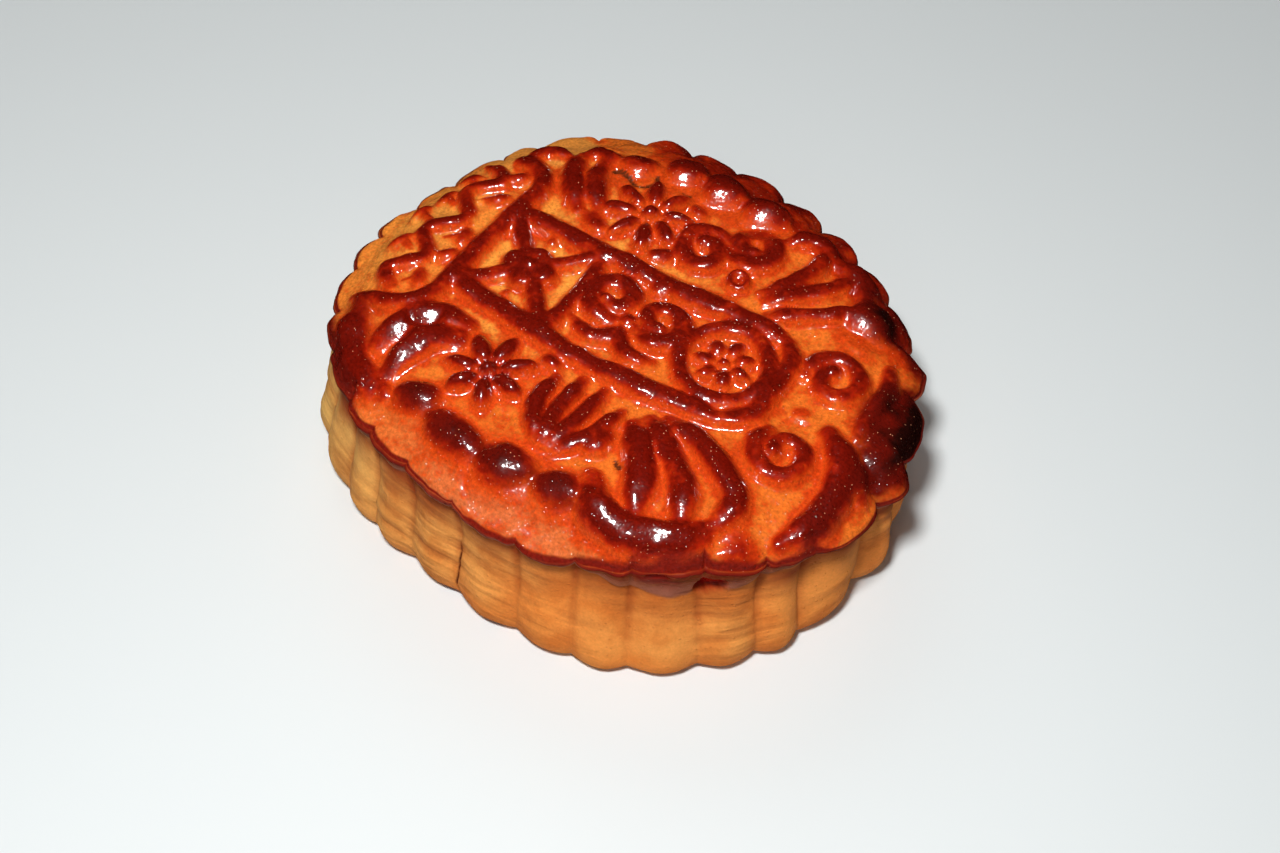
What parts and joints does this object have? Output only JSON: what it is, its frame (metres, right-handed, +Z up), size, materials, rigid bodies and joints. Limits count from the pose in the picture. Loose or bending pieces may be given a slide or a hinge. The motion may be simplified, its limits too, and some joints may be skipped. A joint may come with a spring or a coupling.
{
  "type": "mooncake",
  "caption": "An oval baked mooncake with a scalloped side and a glazed crown with raised ribs, beads, flowers and scrolls.",
  "frame": {"origin": "the middle of the flat base, on the surface that it stands on", "axes": "+Z up; +X along the long axis of the oval, towards the burnt lobe; +Y across it, towards the side with the tall round beads"},
  "size_m": [0.0956, 0.0806, 0.0319],
  "materials": {
    "baked_crust": null
  },
  "bodies": {
    "root": {"mooncake": "baked_crust"}
  },
  "joints": []
}
